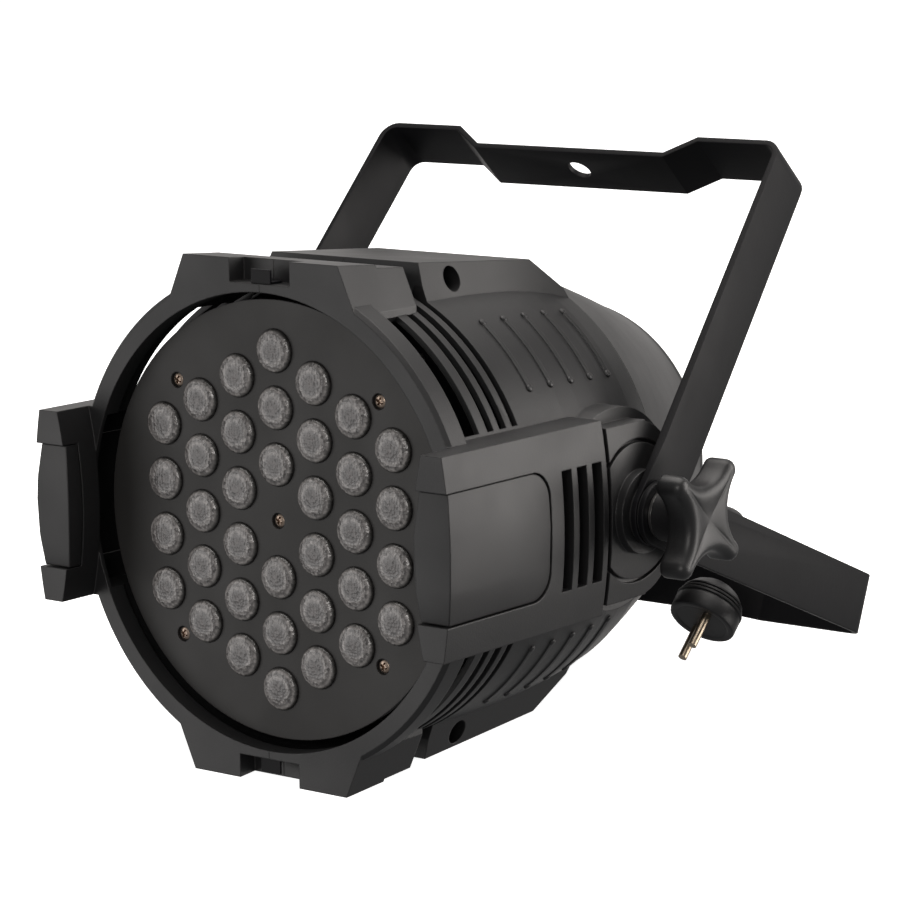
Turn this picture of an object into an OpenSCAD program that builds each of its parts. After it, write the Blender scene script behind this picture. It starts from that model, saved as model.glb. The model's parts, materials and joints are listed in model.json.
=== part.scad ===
// LED par can light on a double bracket, with its mains lead.
// Millimetres, +Z up. The light looks towards -Y and stands on the flats under its case.
// Modules inside lamp_frame() are drawn about the case's own axis: origin at the middle of the
// lens plate's front, the case's axis along +Y.

/* [Case] */
// Outer radius of the front ring
ring_r = 124; // [123:0.5:125]
// Outer radius of the case behind the ring
case_r = 118.5; // [118:0.5:119]
// Outer radius of the case where the rear housing starts
case_rear_r = 111.5; // [111:0.5:112]
// Distance from the lens plate's face back to the rear housing
case_len = 165; // [164:1:167]
// Thickness of the case wall
wall = 3; // [2.5:0.5:3.5]
// Length of the tapered rear housing
housing_len = 92; // [90:1:94]
// Angle by which the case looks up when it stands
pitch = 4.5; // [4:0.25:4.5]

/* [Lenses] */
// Distance between neighbouring lenses
lens_pitch = 28; // [27.5:0.25:28.25]
// Diameter of one lens
lens_d = 21.6; // [20:0.2:22]
// Radius of the lens plate
plate_r = 109; // [108:0.5:109.5]

/* [Side pods] */
// Half height of the side pods
pod_half_h = 48.5; // [47:0.5:50]
// Distance from the case's axis to a pod's side at its corners
pod_x = 127; // [126.8:0.1:127.2]
// How much a pod's side swells between its corners
pod_swell = 4.5; // [4:0.1:4.7]
// How far a pod stands out in front of the lens plate
pod_front = 33.5; // [32:0.5:35]

/* [Brackets] */
// Distance from the pivot to a crossbar's outer face
bracket_h = 217; // [216:0.5:218]
// Width of the steel strip
strip_w = 32.5; // [31:0.5:33]
// Thickness of the steel strip
strip_t = 3; // [2.5:0.25:3]
// Half the hanging bracket's width outside its crossbar
bracket_half = 130; // [129:0.5:131]
// Distance from the lens plate's face to the pivot
pivot_y = 120; // [119:0.5:121]
// Angle of the hanging bracket above the case's axis, to the rear
hang_angle = 48.2; // [46:0.2:50]
// Angle of the floor bracket below the case's axis, to the rear
floor_angle = 22.4; // [22:0.2:23.2]
// Radius of the clamp hole in each crossbar
clamp_hole_r = 6.6; // [6:0.1:7]

/* [Lead] */
// Diameter of the mains lead
lead_d = 7; // [6.5:0.25:7]

/* [Hidden] */

$fn = 96;
black = [0.09, 0.09, 0.10];
steel = [0.75, 0.76, 0.78];
board_green = [0.08, 0.30, 0.16];

// Standing pose: the flats under the case lie on z = 0, and the box of everything but the lead
// is centred on the origin.
lug_z = 129.5;                    // flat of the lug at the ring's front edge
front_y = -10.5;                  // front plane of the ring
ring_back = 3;
lift = lug_z * cos(pitch) + front_y * sin(pitch);
pivot_row_y = pivot_y * cos(pitch);
box_front = -pod_front * cos(pitch) - pod_half_h * sin(pitch);
floor_row_angle = floor_angle + pitch;
box_back = pivot_row_y + bracket_h * cos(floor_row_angle) + strip_w / 2 * sin(floor_row_angle);
centre_y = (box_front + box_back) / 2;
pivot_z = lift - pivot_y * sin(pitch);
flat_slope = tan(pitch);          // the flats rise to the rear by this much

seam = 0.05;                      // half of the gap between the two shells
bore_front = 113.5;               // inner radius at the ring
lug_half = 48.5;                  // half width of a lug's flat
lug_foot = 59;                    // half width where it meets the case
lug_back = 36.5;
ridge_half = 46;
ridge_y0 = 54;
ridge_y1 = 142;
pod_back = 93.5;
screw_z = 114.5;                  // height of the screws that join the two shells
boss_y0 = 96.5;
boss_y1 = 150;
boss_half = 44;
cover_front = -31;
cover_x = 131.2;                  // middle of the cover's outer face
pod_inner_x = 109;
pod_inner_r = 199;                // slight hollow of the pod's inner face
cover_half = 31;
cover_back = 46;
plate_t = 3;

// Stack on the pivot, as distances from the case's middle plane
boss_x = 135.6;
inner_washer_x = 137;
inner_arm_x = 137.1;
middle_washer_x = inner_arm_x + strip_t + 0.1;
outer_arm_x = middle_washer_x + 1.1;
bush_end_x = outer_arm_x + strip_t + 0.1;
knob_washer_x = bush_end_x + 0.1;
knob_x = knob_washer_x + 1.5;
knob_face_x = 174;
knob_reach = 34;
bush_r = 8;
stud_r = 4;
arm_flat = 34;                    // length of an arm that stays square to the pivot

// Lenses stand in seven columns, with the middle one left out for a screw
column_counts = [4, 5, 6, 7, 6, 5, 4];
lens_places = [for (c = [0:6]) for (r = [0:column_counts[c] - 1])
    let (x = (c - 3) * lens_pitch * sqrt(3) / 2, z = (r - (column_counts[c] - 1) / 2) * lens_pitch)
    if (norm([x, z]) > 1) [x, z]];
plate_screw_places = [[0, 0], for (sx = [-1, 1]) for (sz = [-1, 1]) [sx * 64, sz * 64.5]];

// Rear panel layout, looked at from behind
panel_r = 66;
panel_y = case_len + housing_len;
screw_angles = [20:90:290];
panel_screw_r = 56;
button_xs = [-27, -9, 9, 27];
button_z = 12;
button_r = 4.5;
socket_x = 25;
socket_z = -16;
gland_place = [-48, 2];
eye_place = [38, -42];
bulkhead_y = 58;
fan_y = 130;

// Lead: its drop from the gland to the coil, and its tail from the coil to the plug.
// Distances are from the pivot to the rear and from the floor.
lead_r = lead_d / 2;
coil_turns = 2.75;
coil_x = -72;
coil_y = 108;
coil_r0 = 29;                     // middle of the innermost turn
turn_pitch = 7.1;
coil_r1 = coil_r0 + coil_turns * turn_pitch;
drop_points = [[-48, 150.8, 109], [-48, 158.8, 108.4], [-48, 167.7, 106.3], [-48, 175.7, 101.7],
    [-48, 181.9, 95], [-47, 185.9, 86.8], [-47, 187.4, 77.5], [-46, 186.8, 67], [-45, 184.6, 56.5],
    [-44, 180.8, 46.5], [-43, 175.4, 37.3], [-42, 168.5, 29.2], [-42, 160.5, 22.5], [-42, 151, 17.4],
    [-42, 141, 14.2], [-43, 131, 12.2], [-43, 122, 11.1], [-43, 114, 10.9]];
tail_points = [[-43.9, 156.5, 3.8], [-34, 156.7, 3.9], [-19, 160, 6], [-5, 164, 12], [7, 168, 21.5],
    [16.5, 172, 34.5], [26, 176.6, 48.5], [35.5, 181.4, 58], [46.3, 185, 63.8], [58.5, 184.4, 66.3],
    [70.2, 179.1, 65.2], [78.5, 169.7, 60.4], [82, 158, 52], [82, 150.4, 45.7]];
plug_dir = [0, -0.77, -0.64];     // way that the pins point
plug_at = [82, 128, 27];          // middle of the plug's face disc
pin_r = 2.4;
pin_gap = 9.5;                    // from the plug's middle to a pin
pin_turn = 48;

module lamp_frame() { translate([0, -centre_y, lift]) rotate([-pitch, 0, 0]) children(); }

module lead_frame() { translate([0, pivot_row_y - centre_y, 0]) children(); }

// Turns a solid drawn along +Z so that it runs along +Y
module along_y() { rotate([-90, 0, 0]) children(); }

// Both sides of the case
module both_sides() { children(); mirror([1, 0, 0]) children(); }

// A round plate about the case's axis, from y0 to y1
module disc_y(r, y0, y1) { along_y() translate([0, 0, y0]) cylinder(h = y1 - y0, r = r); }

// A bar drawn in the XZ plane and run from y0 to y1
module bar_y(points, y0, y1) {
    translate([0, y1, 0]) rotate([90, 0, 0]) linear_extrude(y1 - y0) polygon(points);
}

// A bar drawn in the YZ plane and run from -half to half
module bar_x(points, half) {
    rotate([90, 0, 90]) translate([0, 0, -half]) linear_extrude(2 * half) polygon(points);
}

// ---- Case ----

// The case draws in towards the rear, slowly at first
function case_radius(y) = case_r - (case_r - case_rear_r) * pow((y - 55) / (case_len - 55), 3);

module case_outside() {
    along_y() rotate_extrude($fn = 128) polygon([[0, front_y], [ring_r - 2, front_y],
        [ring_r, front_y + 2], [ring_r, ring_back], [case_r, ring_back + 1], [case_r, 55],
        for (y = [75:15:case_len]) [case_radius(y), y], [case_rear_r, case_len], [0, case_len]]);
}

module case_inside() {
    along_y() rotate_extrude($fn = 128) polygon([[0, front_y - 0.01], [bore_front, front_y - 0.01],
        [bore_front, 0], [case_r - wall, 3], [case_r - wall, 55],
        for (y = [75:15:case_len]) [case_radius(y) - wall, y], [case_rear_r - wall, case_len + 1],
        [0, case_len + 1]]);
}

// Height of the standing flats at a distance y behind the lens plate
function flat_z(y) = lug_z - (y - front_y) * flat_slope;

// The lug at the top of the ring; the lower one is its mirror image
module lug() {
    intersection() {
        bar_y([[-lug_foot, 90], [-lug_foot, 106], [-lug_half, 130], [lug_half, 130],
            [lug_foot, 106], [lug_foot, 90]], front_y, lug_back);
        bar_x([[front_y, 90], [front_y, flat_z(front_y)], [17, flat_z(17)], [17.01, flat_z(17) - 1.5],
            [lug_back, flat_z(lug_back) - 1.5], [lug_back, 90]], 70);
    }
}

// The long ridge behind the lug
module ridge() {
    intersection() {
        bar_y([[-60, 88], [-ridge_half, 126], [ridge_half, 126], [60, 88]], ridge_y0 - 3, case_len);
        bar_x([[ridge_y0 - 3, 88], [ridge_y0 - 3, 108], [ridge_y0, flat_z(ridge_y0)],
            [ridge_y1, flat_z(ridge_y1)], [case_len - 2, 101], [case_len, 96], [case_len, 88]], 70);
    }
}

// One pod, on the right-hand side
module pod() {
    swell_r = (pow(pod_half_h, 2) + pow(pod_swell, 2)) / (2 * pod_swell);
    intersection() {
        union() {
            translate([60, -pod_front, -pod_half_h]) cube([90, pod_front + pod_back, 2 * pod_half_h]);
            translate([60, boss_y0 - 3, -boss_half]) cube([90, boss_y1 - boss_y0 - 17, 2 * boss_half]);
            translate([60, boss_y1 - 26, 0]) along_x_slab(boss_half, 26);
        }
        // shallow swell of the side
        translate([pod_x + pod_swell - swell_r, 0, 0]) along_y()
            translate([0, 0, -60]) cylinder(h = 300, r = swell_r, $fn = 160);
        union() {
            translate([60, front_y, -60]) cube([90, 200, 120]);
            pod_inner_face(pod_inner_x);
        }
    }
}

// Everything outside the hollow inner face of a pod's front end
module pod_inner_face(x) {
    translate([x + pod_inner_r, -60, 0]) along_y() cylinder(h = 60, r = pod_inner_r, $fn = 160);
}

// A slab along X whose rear edge is rounded, for the end of the pivot's boss
module along_x_slab(half, back) {
    hull() for (s = [-1, 1]) translate([0, 0, s * (half - back)])
        rotate([0, 90, 0]) cylinder(h = 90, r = back, $fn = 32);
}

module pod_cavity() {
    translate([104, -8, -pod_half_h + 4]) cube([19, 98, 2 * pod_half_h - 8]);
}

// Air slits above and below each pod; the last two run up into the gap before the ridge
module vents() {
    slits = [[9.5, 21.5, 60], [28, 33, 60], [37.5, 43, 68], [47.5, 52, 68]];
    for (s = slits) for (low = [-s[2], 25]) along_y() rotate([0, 0, low]) translate([0, 0, s[0]])
        rotate_extrude(angle = s[2] - 25) translate([case_r - 10, 0]) square([20, s[1] - s[0]]);
}

module pod_vents() {
    for (i = [0:2]) translate([pod_x - 10, 56.5 + 12.5 * i, -30]) cube([30, 8, 59]);
}

module ribs() {
    for (i = [0:4]) let (y = 72.5 + 17.5 * i) for (low = [33, -53]) along_y() rotate([0, 0, low])
        translate([0, 0, y]) rotate_extrude(angle = 20)
            translate([case_radius(y) - 3, -1.5]) square([3.7, 3]);
}

module half_shell() {
    difference() {
        intersection() {
            union() {
                case_outside();
                for (s = [0, 1]) mirror([0, 0, s]) { lug(); ridge(); }
                pod();
                translate([100, pivot_y, 0]) rotate([0, 90, 0]) cylinder(h = boss_x - 100, r = 21);
                intersection() {
                    translate([80, pivot_y - 2, 0]) rotate([0, 90, 0]) cylinder(h = 38, r = 51);
                    translate([80, 0, -60]) cube([40, case_len, 120]);
                }
                ribs();
            }
            translate([seam, -60, -200]) cube([200, 400, 400]);
        }
        case_inside();
        pod_cavity();
        vents();
        pod_vents();
        side_cover_space();
        for (s = [-1, 1]) {
            translate([-1, front_y - 1, s * 125.5 - 8]) cube([20, 12, 16]);
            shell_screw_hole(s);
        }
        translate([0, pivot_y, 0]) rotate([0, 90, 0]) cylinder(h = 200, r = bush_r);
        translate([100, pivot_y, 0]) rotate([0, 90, 0]) cylinder(h = 24, r = 13);
        translate([118, pod_back, -60]) cube([60, boss_y0 - pod_back, 120]);
        pivot_groove();
    }
}

// Groove round the pivot, in the boss only
module pivot_groove() {
    intersection() {
        translate([pod_x - 0.2, pivot_y, 0]) rotate([0, 90, 0]) difference() {
            cylinder(h = 10, r = 36);
            translate([0, 0, -1]) cylinder(h = 12, r = 34);
        }
        translate([pod_x - 1, boss_y0, -60]) cube([20, 100, 120]);
    }
}

module shell_screw_hole(s) {
    translate([12, 76, s * screw_z]) rotate([0, 90, 0]) cylinder(h = 60, r = 6.2);
    translate([-1, 76, s * screw_z]) rotate([0, 90, 0]) cylinder(h = 20, r = 2.5);
}

module shell_left() { color(black) lamp_frame() mirror([1, 0, 0]) half_shell(); }
module shell_right() { color(black) lamp_frame() half_shell(); }

// Flat cover let into the pod's side, open towards the front
module side_cover_outline(half, back, r) {
    hull() {
        translate([-pod_front - 5, -half]) square([10, 2 * half]);
        for (s = [-1, 1]) translate([back - r, s * (half - r)]) circle(r, $fn = 32);
    }
}

module side_cover_block(half, back, r, depth) {
    translate([pod_x + pod_swell - depth, 0, 0]) rotate([90, 0, 90])
        linear_extrude(20) side_cover_outline(half, back, r);
}

module side_cover_space() {
    gap = 0.5;
    side_cover_block(cover_half + gap, cover_back + gap, 12.5, 8.5);
    translate([100, -pod_front - 1, -cover_half - gap]) cube([45, 12, 2 * (cover_half + gap)]);
}

// The cover swells across its height, and its front end closes the pod's end
module side_cover() {
    swell_r = 180;
    front_r = 253;
    bulge = 1.9;
    intersection() {
        union() {
            side_cover_block(cover_half, cover_back, 12, 8.4);
            intersection() {
                translate([100, -40, -cover_half]) cube([40, 40 - 22.6, 2 * cover_half]);
                pod_inner_face(pod_inner_x + 0.3);
            }
        }
        translate([cover_x - swell_r, -60, 0]) along_y() cylinder(h = 160, r = swell_r, $fn = 200);
        translate([90, cover_front - bulge + front_r, 0]) rotate([0, 90, 0])
            cylinder(h = 60, r = front_r, $fn = 240);
    }
}

module side_cover_left() { color(black) lamp_frame() mirror([1, 0, 0]) side_cover(); }
module side_cover_right() { color(black) lamp_frame() side_cover(); }

// Outer radius of the rear housing at a distance u behind the case
function housing_radius(u) = case_rear_r - 0.31 * u - 0.0005 * u * u;

// Tapered housing that closes the rear, with a lip for the panel
module rear_housing() {
    flat = housing_len - 8;
    outer = [for (u = [0:12:flat]) [housing_radius(u), case_len + u]];
    inner = [for (u = [flat - 12:-12:12]) [housing_radius(u) - wall, case_len + u]];
    edge = [for (a = [0:15:90]) [housing_radius(flat) - 8 + 8 * cos(a), panel_y - 8 + 8 * sin(a)]];
    color(black) lamp_frame() difference() {
        along_y() rotate_extrude($fn = 128) polygon(concat([[case_rear_r, case_len + 0.05]],
            [for (i = [1:len(outer) - 1]) outer[i]], edge, [[panel_r + 0.1, panel_y],
            [panel_r + 0.1, panel_y - 4], [panel_r - 6, panel_y - 4], [panel_r - 6, panel_y - 6],
            [housing_radius(flat) - wall - 2, panel_y - 6]], inner,
            [[case_rear_r - wall, case_len + 0.05]]));
        // air slots in the underside of the taper
        for (a = [50:16:130]) rotate([0, a, 0]) translate([70, case_len + 30, -1.5]) cube([60, 30, 3]);
    }
}

module rear_panel() {
    color(black) lamp_frame() difference() {
        disc_y(panel_r, panel_y - 4, panel_y - 1);
        translate([-23, panel_y - 5, 25]) cube([46, 6, 18]);
        for (x = button_xs) translate([x, panel_y - 6, button_z]) along_y()
            cylinder(h = 8, r = button_r + 0.4);
        for (s = [-1, 1]) translate([s * socket_x, panel_y - 6, socket_z]) along_y()
            cylinder(h = 8, r = 11.9);
        translate([0, panel_y - 6, -46]) along_y() cylinder(h = 8, r = 6.1);
        translate([gland_place[0], panel_y - 6, gland_place[1]]) along_y() cylinder(h = 8, r = 6);
        for (a = screw_angles) rotate([0, a, 0]) translate([panel_screw_r, panel_y - 6, 0]) along_y()
            cylinder(h = 8, r = 1.6);
    }
}

// ---- Light engine ----

module lens_plate() {
    color(black) lamp_frame() difference() {
        disc_y(plate_r, 0, plate_t);
        for (p = lens_places) translate([p[0], -1, p[1]]) along_y()
            cylinder(h = plate_t + 2, r = lens_d / 2 + 0.1, $fn = 32);
        for (p = plate_screw_places) translate([p[0], -1, p[1]]) along_y() {
            cylinder(h = 3.2, r = 4);
            cylinder(h = plate_t + 2, r = 1.8, $fn = 24);
        }
    }
}

// Moulded lenses: a short barrel with a low dome, each a separate solid
module lenses() {
    color([0.75, 0.77, 0.80]) lamp_frame() for (p = lens_places) translate([p[0], 0, p[1]]) along_y()
        rotate_extrude($fn = 32) polygon([[0, -3.4], [4, -3.1], [7.5, -2.3], [9.8, -1.3],
            [lens_d / 2, -0.6], [lens_d / 2, 4], [6, 10], [0, 10]]);
}

module plate_screws() {
    color(steel) lamp_frame() for (p = plate_screw_places) translate([p[0], 0, p[1]]) along_y()
        difference() {
            union() {
                translate([0, 0, 1]) cylinder(h = 1.2, r = 3, $fn = 32);
                translate([0, 0, 1.5]) cylinder(h = 10.4, r = 1.5, $fn = 24);
            }
            for (a = [0, 90]) rotate([0, 0, a]) translate([-2, -0.4, 0.5]) cube([4, 0.8, 1]);
        }
}

module led_board() { color([0.85, 0.86, 0.84]) lamp_frame() disc_y(plate_r - 3, 12, 13.6); }

module leds() {
    color([0.95, 0.85, 0.4]) lamp_frame() for (p = lens_places)
        translate([p[0] - 2, 10, p[1] - 2]) cube([4, 2, 4]);
}

module heat_sink() {
    color(steel) lamp_frame() {
        disc_y(plate_r - 6, 13.65, 19);
        for (i = [-5:5]) let (half = sqrt(pow(78, 2) - pow(i * 15, 2)))
            translate([i * 15 - 1.2, 18.5, -half]) cube([2.4, 35, 2 * half]);
    }
}

// Spacers: lens plate to LED board, heat sink to bulkhead, bulkhead to fan
module board_posts() {
    color(steel) lamp_frame() {
        for (a = [0:60:300]) rotate([0, a, 0]) {
            translate([95, plate_t, 0]) along_y() cylinder(h = 9, r = 3.5, $fn = 32);
            translate([88, 19, 0]) along_y() cylinder(h = bulkhead_y - 19, r = 3, $fn = 32);
        }
        for (x = [-34, 34]) for (z = [-34, 34]) translate([x, bulkhead_y + 2, z]) along_y()
            cylinder(h = fan_y - bulkhead_y - 2, r = 3, $fn = 32);
    }
}

module bulkhead() {
    color(steel) lamp_frame() difference() {
        disc_y(100, bulkhead_y, bulkhead_y + 2);
        disc_y(26, bulkhead_y - 1, bulkhead_y + 3);
        for (a = [30:60:330]) rotate([0, a, 0]) translate([70, bulkhead_y - 1, 0]) along_y()
            cylinder(h = 4, r = 12);
    }
}

module fan_frame() {
    color(black) lamp_frame() difference() {
        translate([-40, fan_y, -40]) cube([80, 20, 80]);
        disc_y(37.5, fan_y - 1, fan_y + 16);
        disc_y(stud_r / 2 + 0.06, fan_y + 15, fan_y + 18);
        for (a = [45:90:315]) rotate([0, a, 0]) translate([14, fan_y + 14, -11]) cube([20, 8, 22]);
    }
}

module fan_rotor() {
    color(black) lamp_frame() {
        disc_y(16, fan_y + 2, fan_y + 14);
        disc_y(stud_r / 2, fan_y + 13, fan_y + 17.8);
        for (i = [0:6]) rotate([0, i * 360 / 7, 0]) translate([14, fan_y + 9, -1])
            rotate([35, 0, 0]) cube([20, 1.8, 13]);
    }
}

module power_supply() {
    color(board_green) lamp_frame() {
        translate([-70, bulkhead_y + 2, -72]) cube([140, 62, 1.6]);
        translate([-60, 70, -70.4]) cube([32, 36, 26]);
        translate([-20, 68, -70.4]) cube([28, 44, 30]);
        for (i = [0:2]) translate([22 + i * 16, 80, -70.4]) cylinder(h = 24, r = 6.5, $fn = 32);
    }
}

module control_board() {
    color(board_green) lamp_frame() {
        translate([-35, panel_y - 13, 2]) cube([70, 1.6, 46]);
        translate([-20, panel_y - 11.4, 27]) cube([40, 4, 14]);
    }
}

// ---- Small parts of the case ----

module frame_clips() {
    color(steel) lamp_frame() for (s = [0, 1]) mirror([0, 0, s]) {
        translate([-6, front_y + 1, 117.6]) cube([12, 9, 1.2]);
        translate([-6, front_y + 1, 117.6]) cube([12, 1.2, 7]);
    }
}

module shell_screws() {
    color(steel) lamp_frame() both_sides() for (s = [-1, 1]) translate([9, 76, s * screw_z])
        rotate([0, 90, 0]) {
            translate([0, 0, 3]) cylinder(h = 3, r = 4.5, $fn = 32);
            cylinder(h = 4, r = 2.4, $fn = 24);
        }
}

module panel_screws() {
    color(steel) lamp_frame() for (a = screw_angles) rotate([0, a, 0])
        translate([panel_screw_r, panel_y - 5, 0]) along_y() {
            cylinder(h = 4, r = 1.5, $fn = 24);
            translate([0, 0, 4]) cylinder(h = 1.6, r = 3, $fn = 32);
        }
}

module display_window() {
    color([0.2, 0.02, 0.03]) lamp_frame() translate([-22.9, panel_y - 3, 25.1]) cube([45.8, 2.5, 17.8]);
}

module button(i) {
    color([0.25, 0.25, 0.27]) lamp_frame() translate([button_xs[i], panel_y - 6, button_z]) along_y() {
        cylinder(h = 8, r = button_r);
        cylinder(h = 1.6, r = button_r + 1.2);
    }
}
module button_menu() { button(0); }
module button_up() { button(1); }
module button_down() { button(2); }
module button_enter() { button(3); }

module dmx_socket(x, pins_out) {
    translate([x, 0, socket_z]) {
        difference() {
            union() {
                translate([0, panel_y - 16, 0]) along_y() cylinder(h = 16.5, r = 11.8);
                translate([0, panel_y - 1, 0]) along_y() cylinder(h = 2.5, r = 14);
            }
            translate([0, panel_y - 12, 0]) along_y() difference() {
                cylinder(h = 20, r = 9.4);
                if (!pins_out) translate([0, 0, -1]) cylinder(h = 12.5, r = 7.6);
            }
            if (!pins_out) for (a = [0, 120, 240]) rotate([0, a, 0]) translate([4, panel_y - 8, 0])
                along_y() cylinder(h = 20, r = 1.3, $fn = 24);
        }
        if (pins_out) for (a = [0, 120, 240]) rotate([0, a, 0]) translate([4, panel_y - 12.5, 0])
            along_y() cylinder(h = 9, r = 1.2, $fn = 24);
    }
}
module dmx_in_socket() { color(black) lamp_frame() dmx_socket(-socket_x, true); }
module dmx_out_socket() { color(black) lamp_frame() dmx_socket(socket_x, false); }

module fuse_holder() {
    color(black) lamp_frame() translate([0, 0, -46]) {
        translate([0, panel_y - 20, 0]) along_y() cylinder(h = 19.5, r = 6);
        translate([0, panel_y - 1, 0]) along_y() cylinder(h = 7, r = 7.5);
    }
}

// Steel loop for a safety rope, on a small foot
module safety_eye() {
    color(steel) lamp_frame() translate([eye_place[0], panel_y - 1, eye_place[1]]) difference() {
        union() {
            translate([-5, 0, -8]) cube([10, 1.5, 16]);
            translate([-1.5, 1, -7]) cube([3, 6.4, 14]);
            translate([-1.5, 7.4, 0]) rotate([0, 90, 0]) cylinder(h = 3, r = 7);
        }
        translate([-5, 7.4, 0]) rotate([0, 90, 0]) cylinder(h = 10, r = 4.5);
    }
}

module cable_gland() {
    color(black) lamp_frame() translate([gland_place[0], panel_y - 5, gland_place[1]]) {
        along_y() cylinder(h = 6, r = 5.9);
        translate([0, 4, 0]) along_y() cylinder(h = 5, r = 9, $fn = 6);
        translate([0, 9, 0]) along_y() cylinder(h = 10, r = 5.6);
    }
}

// ---- Pivot, brackets and knobs ----

// A round part on the pivot from x0 to x1, on the right-hand side
module on_pivot(x0, x1, r, hole = 0) {
    translate([x0, pivot_y, 0]) rotate([0, 90, 0]) difference() {
        cylinder(h = x1 - x0, r = r);
        if (hole > 0) translate([0, 0, -1]) cylinder(h = x1 - x0 + 2, r = hole);
    }
}

module pivot_bushes() {
    color(steel) lamp_frame() both_sides() {
        on_pivot(124, bush_end_x, bush_r, stud_r + 0.06);
        on_pivot(118, 124, 13, stud_r + 0.06);
    }
}

module inner_washers() {
    color([0.2, 0.2, 0.2]) lamp_frame() both_sides() on_pivot(boss_x, inner_washer_x, 15, bush_r);
}

module middle_washers() {
    color([0.2, 0.2, 0.2]) lamp_frame() both_sides()
        on_pivot(middle_washer_x - 0.05, outer_arm_x - 0.05, 15, bush_r);
}

function unit(v) = v / norm(v);

// Points of a bend of radius r at b, on the way from a to c
function bend(a, b, c, r, n = 6) = let (u = unit(a - b), v = unit(c - b), half = acos(u * v) / 2,
    m = b + unit(u + v) * r / sin(half), p = b + u * r / tan(half) - m, q = b + v * r / tan(half) - m,
    a0 = atan2(p[1], p[0]), turn = (atan2(q[1], q[0]) - a0 + 540) % 360 - 180)
    [for (i = [0:n]) m + r * [cos(a0 + turn * i / n), sin(a0 + turn * i / n)]];

// Right half of one face of the strip, drawn with its arms up: arm, corner, and the shallow
// step in the crossbar's middle. off is 0 on the outer face and strip_t on the inner one.
function strip_side(arm_x, top_x, off) = let (x0 = arm_x + strip_t - off, x1 = top_x - off,
    h = bracket_h - off, step = 11, ramp = [78 + off * 0.3, 61 + off * 0.3],
    foot = [x0, -strip_w / 2], knee = [x0, arm_flat], corner = [x1, h])
    concat([foot, knee], bend(knee, corner, [ramp[0], h], 10 - off),
        [[ramp[0], h], [ramp[1], h - step]]);

// Bent steel strip: two arms and a crossbar
module strip_profile(arm_x, top_x) {
    out = strip_side(arm_x, top_x, 0);
    in = strip_side(arm_x, top_x, strip_t);
    n = len(out) - 1;
    polygon(concat(out, [for (i = [n:-1:0]) [-out[i][0], out[i][1]]],
        [for (i = [0:n]) [-in[i][0], in[i][1]]], [for (i = [n:-1:0]) in[i]]));
}

module bracket(arm_x, top_x, angle) {
    translate([0, pivot_y, 0]) rotate([angle - 90, 0, 0]) difference() {
        intersection() {
            translate([0, strip_w / 2, 0]) rotate([90, 0, 0]) linear_extrude(strip_w)
                strip_profile(arm_x, top_x);
            union() {
                translate([-200, -strip_w / 2, 0]) cube([400, strip_w, 300]);
                rotate([0, 90, 0]) translate([0, 0, -200]) cylinder(h = 400, r = strip_w / 2);
            }
        }
        rotate([0, 90, 0]) translate([0, 0, -200]) cylinder(h = 400, r = bush_r + 0.06);
        translate([0, 0, bracket_h - 30]) cylinder(h = 40, r = clamp_hole_r);
    }
}

module hanging_bracket() {
    color(black) lamp_frame() bracket(inner_arm_x, bracket_half, hang_angle);
}
module floor_bracket() {
    color(black) lamp_frame() bracket(outer_arm_x, outer_arm_x + strip_t, -floor_angle);
}

// Four-lobed knob with a hub towards the bracket
module star_outline(reach, waist) {
    difference() {
        circle(reach);
        for (a = [45:90:315]) rotate(a) translate([reach + 5, 0]) circle(waist);
    }
}

module knob() {
    translate([0, pivot_y, 0]) rotate([0, 90, 0]) difference() {
        union() {
            translate([0, 0, knob_x]) cylinder(h = 14, r = 13);
            translate([0, 0, knob_x + 12]) rotate(49) linear_extrude(knob_face_x - knob_x - 12)
                star_outline(knob_reach, 22);
        }
        translate([0, 0, knob_x - 1]) cylinder(h = 16, r = stud_r);
    }
}

module knob_left() { color(black) lamp_frame() mirror([1, 0, 0]) knob(); }
module knob_right() { color(black) lamp_frame() knob(); }

module knob_stud() { on_pivot(119, knob_x + 15, stud_r); }
module knob_stud_left() { color(steel) lamp_frame() mirror([1, 0, 0]) knob_stud(); }
module knob_stud_right() { color(steel) lamp_frame() knob_stud(); }

module knob_washer() { on_pivot(knob_washer_x, knob_x, 12, stud_r); }
module knob_washer_left() { color(steel) lamp_frame() mirror([1, 0, 0]) knob_washer(); }
module knob_washer_right() { color(steel) lamp_frame() knob_washer(); }

// ---- Mains lead ----

function heading(p, i) = unit(p[min(i + 1, len(p) - 1)] - p[max(i - 1, 0)]);

// One ring of the lead's skin at point i, set square to the route
function lead_ring(p, i, side) = let (t = heading(p, i), u = unit(cross(t, side)), v = cross(t, u))
    [for (k = [0:9]) p[i] + lead_r * (cos(k * 36) * u + sin(k * 36) * v)];

module lead_tube(p, side) {
    n = len(p);
    points = [for (i = [0:n - 1]) each lead_ring(p, i, side)];
    walls = [for (i = [0:n - 2]) for (k = [0:9]) let (k2 = (k + 1) % 10)
        each [[i * 10 + k, (i + 1) * 10 + k, (i + 1) * 10 + k2],
            [i * 10 + k, (i + 1) * 10 + k2, i * 10 + k2]]];
    ends = [[for (k = [0:9]) k], [for (k = [9:-1:0]) (n - 1) * 10 + k]];
    polyhedron(points, concat(walls, ends));
}

module lead_drop() { color(black) lead_frame() lead_tube(drop_points, [1, 0, 0]); }
module lead_tail() { color(black) lead_frame() lead_tube(tail_points, [0, 0.3, 1]); }

module lead_coil() {
    color(black) lead_frame() translate([coil_x, coil_y, 0]) rotate_extrude()
        translate([coil_r0 - lead_r, 0.3]) square([coil_r1 - coil_r0 + lead_d, lead_d]);
    // the last turn runs off it to the right
    color(black) lead_frame() translate([coil_x, coil_y + coil_r1, 0.3 + lead_r]) rotate([0, 90, 0])
        cylinder(h = 28, r = lead_r);
}

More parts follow.
